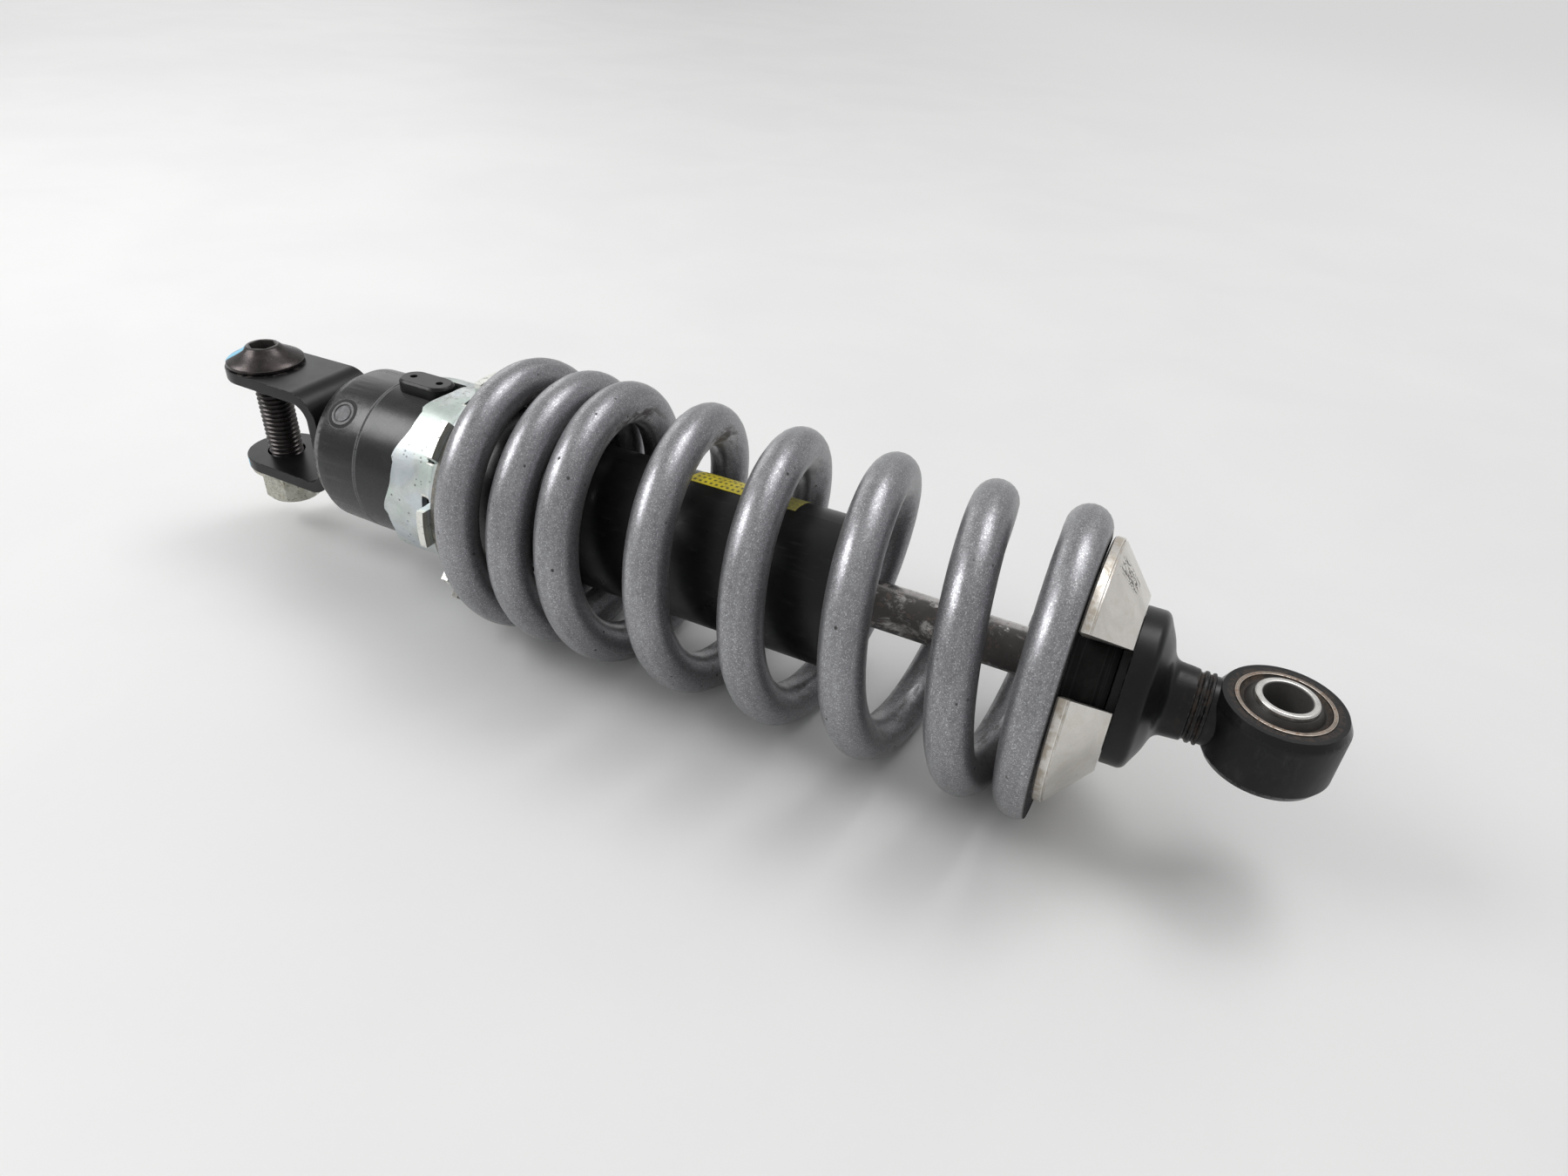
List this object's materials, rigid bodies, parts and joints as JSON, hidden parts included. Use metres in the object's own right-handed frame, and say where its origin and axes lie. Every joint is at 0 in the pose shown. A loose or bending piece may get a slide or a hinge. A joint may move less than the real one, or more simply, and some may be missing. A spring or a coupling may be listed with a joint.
{
  "type": "rear shock absorber",
  "caption": "Coil-over single-tube rear damper with a clevis and through bolt at one end, a rubber-bushed eye at the other, and a stepped spring preload ring.",
  "frame": {"origin": "centre of the eye's bore, halfway along its sleeve", "axes": "+X along the shock from the clevis towards the eye, +Z along the eye's bore and parallel to the clevis bolt"},
  "size_m": [0.3804, 0.0892, 0.0892],
  "materials": {
    "black_paint": "satin black paint",
    "black_oxide": "black oxide",
    "zinc_plate": "zinc plated",
    "spring_paint": "metallic silver grey paint",
    "bare_aluminium": "machined",
    "hard_chrome": "ground hard chrome",
    "tube_black": "satin black",
    "rubber": "matte",
    "bush_rubber": "aged, brown",
    "bright_steel": "turned steel",
    "label_yellow": "plain foil",
    "seal_plastic": "filled plastic",
    "sintered_steel": "sintered"
  },
  "bodies": {
    "lower": {"piston_rod": "hard_chrome", "top_out_bumper": "rubber", "rebound_washer": "bright_steel", "rebound_shims": "bright_steel", "piston": "sintered_steel", "piston_band": "seal_plastic", "compression_shims": "bright_steel", "piston_nut": "bright_steel", "bump_stop": "rubber", "spring_seat": "bare_aluminium", "bell_bracket": "black_paint", "eye_end": "black_paint", "bush_shell": "bright_steel", "bush_rubber": "bush_rubber", "coil_spring": "spring_paint"},
    "eye_sleeve": {"inner_sleeve": "bright_steel"},
    "barrel": {"clevis_bracket": "black_paint", "weld_bead": "black_paint", "pivot_bolt": "black_oxide", "flange_nut": "zinc_plate", "end_cap": "black_paint", "charge_plug": "black_paint", "stop_collar": "black_paint", "cam_stops": "black_paint", "damper_tube": "tube_black", "tube_label": "label_yellow", "rod_guide": "bare_aluminium", "guide_oring": "rubber", "guide_bushing": "seal_plastic", "rod_seal": "rubber", "dust_wiper": "rubber", "retaining_ring": "bright_steel"},
    "gas_piston": {"floating_piston": "bare_aluminium", "floating_oring": "rubber"},
    "perch": {"seat_washer": "bright_steel"},
    "cam": {"preload_ring": "zinc_plate"}
  },
  "joints": [
    {"name": "stroke", "type": "slide", "parent": "lower", "child": "barrel", "axis": [1, 0, 0], "range_m": [0, 0.0565], "stiffness_N_per_m": 60000, "springref_m": -0.012, "deforming": ["coil_spring"]},
    {"name": "gas_piston_slide", "type": "slide", "parent": "barrel", "child": "gas_piston", "axis": [-1, 0, 0], "range_m": [0, 0.00648]},
    {"name": "preload_travel", "type": "slide", "parent": "barrel", "child": "perch", "axis": [1, 0, 0], "range_m": [0, 0.00965], "deforming": ["coil_spring"]},
    {"name": "preload_turn", "type": "hinge", "parent": "perch", "child": "cam", "pos_m": [-0.247, 0, 0], "axis": [-1, 0, 0], "range_deg": [0, 144]},
    {"name": "eye_twist", "type": "hinge", "parent": "lower", "child": "eye_sleeve", "pos_m": [0, 0, 0], "axis": [0, 0, 1], "range_deg": [-20, 20]}
  ],
  "couplings": [
    {"joint": "gas_piston_slide", "follows": "stroke", "ratio": 0.11111},
    {"joint": "preload_travel", "follows": "preload_turn", "m_per_rad": 0.0038197}
  ]
}
